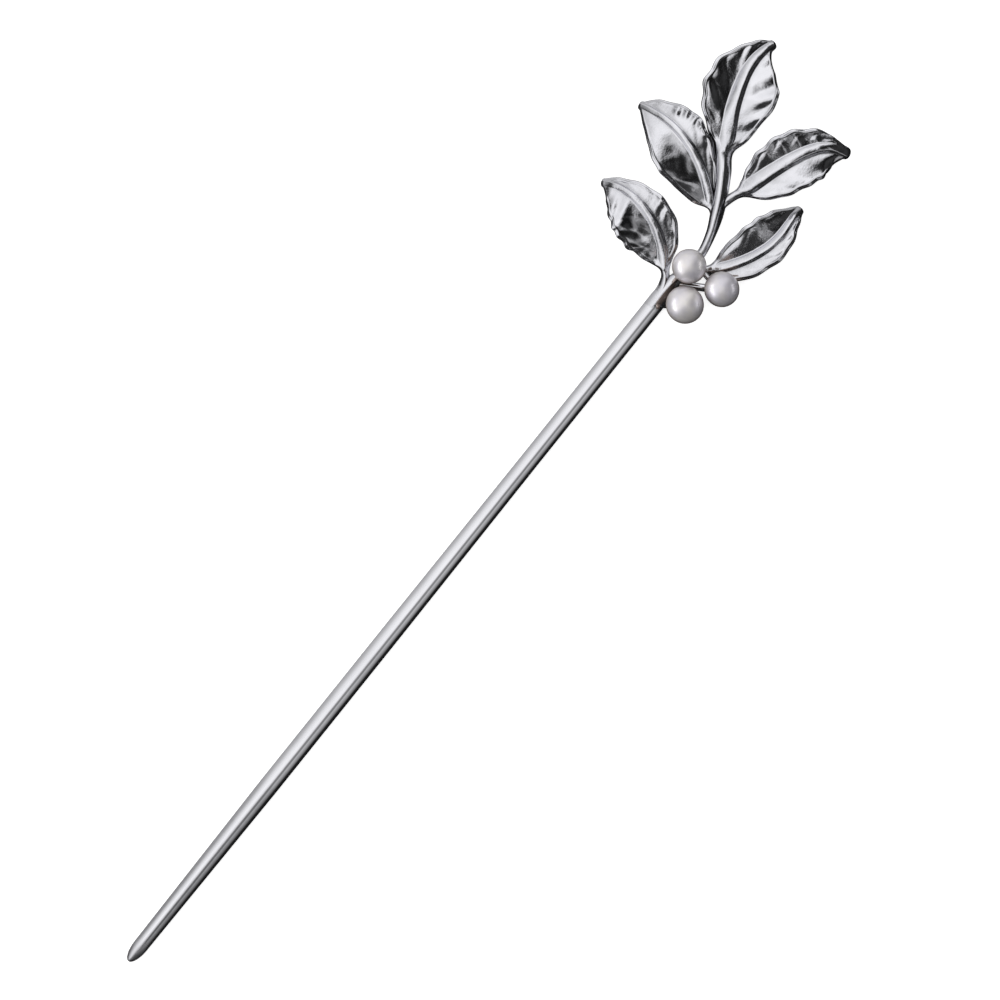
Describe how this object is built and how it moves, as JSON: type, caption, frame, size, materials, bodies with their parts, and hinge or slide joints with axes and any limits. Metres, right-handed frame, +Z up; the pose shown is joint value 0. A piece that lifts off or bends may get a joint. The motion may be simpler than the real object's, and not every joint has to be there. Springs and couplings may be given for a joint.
{
  "type": "hair stick",
  "caption": "Slim metal hair stick that ends in a spray of leaves with pearls at the fork, worn through a bun.",
  "frame": {"origin": "middle of the footprint, on the surface that the stick lies on", "axes": "+X along the stick from its point towards the leaves, +Y to the left seen from above, +Z up, out of the faces of the leaves"},
  "size_m": [0.1698, 0.0318, 0.0076],
  "materials": {
    "silver_plate": "bright silver-coloured plating on polished cast and soldered brass",
    "pearl": "lustrous nacre, cream to lilac grey"
  },
  "bodies": {
    "root": {"leaf_stick": "silver_plate", "pearl_top": "pearl", "pearl_right": "pearl", "pearl_low": "pearl"}
  },
  "joints": []
}
